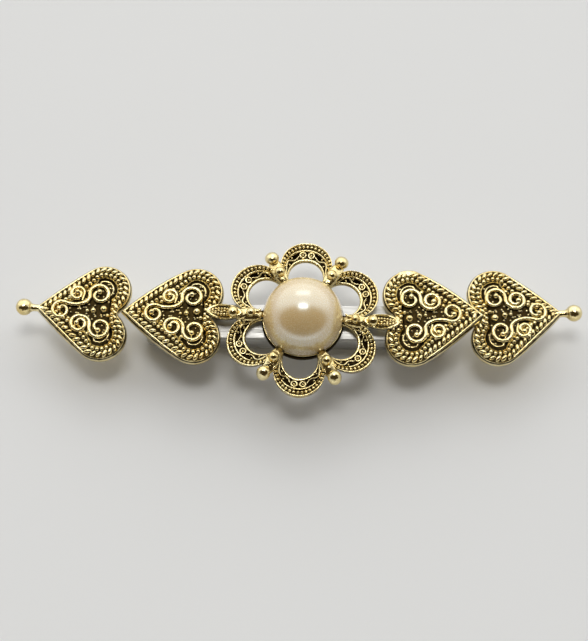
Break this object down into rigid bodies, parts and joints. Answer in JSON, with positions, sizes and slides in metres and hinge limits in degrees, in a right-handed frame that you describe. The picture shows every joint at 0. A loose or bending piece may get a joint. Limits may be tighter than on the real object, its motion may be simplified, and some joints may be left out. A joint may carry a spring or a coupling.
{
  "type": "barrette",
  "caption": "Hair barrette with a row of filigree hearts, a round-petalled flower and a domed pearl on a hinged spring clip.",
  "frame": {"origin": "middle of the footprint, on the surface that the clip's arm lies on", "axes": "+X along the row of castings, +Y towards the flower's top petal, +Z out of the decorated face"},
  "size_m": [0.0962, 0.0278, 0.0162],
  "materials": {
    "antique_gold": "polished relief with dark antiqued recesses",
    "pearl_coat": "pearlescent cream coating",
    "nickel_clip": "bright nickel plate",
    "spring_steel": "plain spring steel"
  },
  "bodies": {
    "arm": {"clasp_arm": "nickel_clip"},
    "front": {"heart_outer_left": "antique_gold", "heart_inner_left": "antique_gold", "heart_inner_right": "antique_gold", "heart_outer_right": "antique_gold", "leaf_left": "antique_gold", "leaf_right": "antique_gold", "flower_frame": "antique_gold", "pearl_cup": "antique_gold", "pearl_peg": "antique_gold", "pearl": "pearl_coat", "base_plate": "nickel_clip", "solder_pad_left": "nickel_clip", "solder_pad_right": "nickel_clip", "hinge_bracket": "nickel_clip", "hinge_pin": "nickel_clip", "catch_block": "nickel_clip"},
    "tension": {"tension_bar": "spring_steel"},
    "front_tab": {"catch_tab_front": "spring_steel"},
    "rear_tab": {"catch_tab_rear": "spring_steel"}
  },
  "joints": [
    {"name": "clasp_hinge", "type": "hinge", "parent": "arm", "child": "front", "pos_m": [0.0234, 0, 0.0034], "axis": [0, 1, 0], "range_deg": [0, 50]},
    {"name": "tension_flex", "type": "hinge", "parent": "front", "child": "tension", "pos_m": [0.0204, 0, 0.0054], "axis": [0, 1, 0], "range_deg": [-3, 0]},
    {"name": "front_tab_squeeze", "type": "hinge", "parent": "front", "child": "front_tab", "pos_m": [-0.023, -0.0012, 0.0051], "axis": [1, 0, 0], "range_deg": [0, 6], "stiffness_Nm_per_rad": 0.02},
    {"name": "rear_tab_squeeze", "type": "hinge", "parent": "front", "child": "rear_tab", "pos_m": [-0.023, 0.0012, 0.0051], "axis": [1, 0, 0], "range_deg": [-6, 0]}
  ],
  "couplings": [
    {"joint": "tension_flex", "follows": "clasp_hinge", "ratio": -0.06},
    {"joint": "rear_tab_squeeze", "follows": "front_tab_squeeze", "ratio": -1}
  ]
}
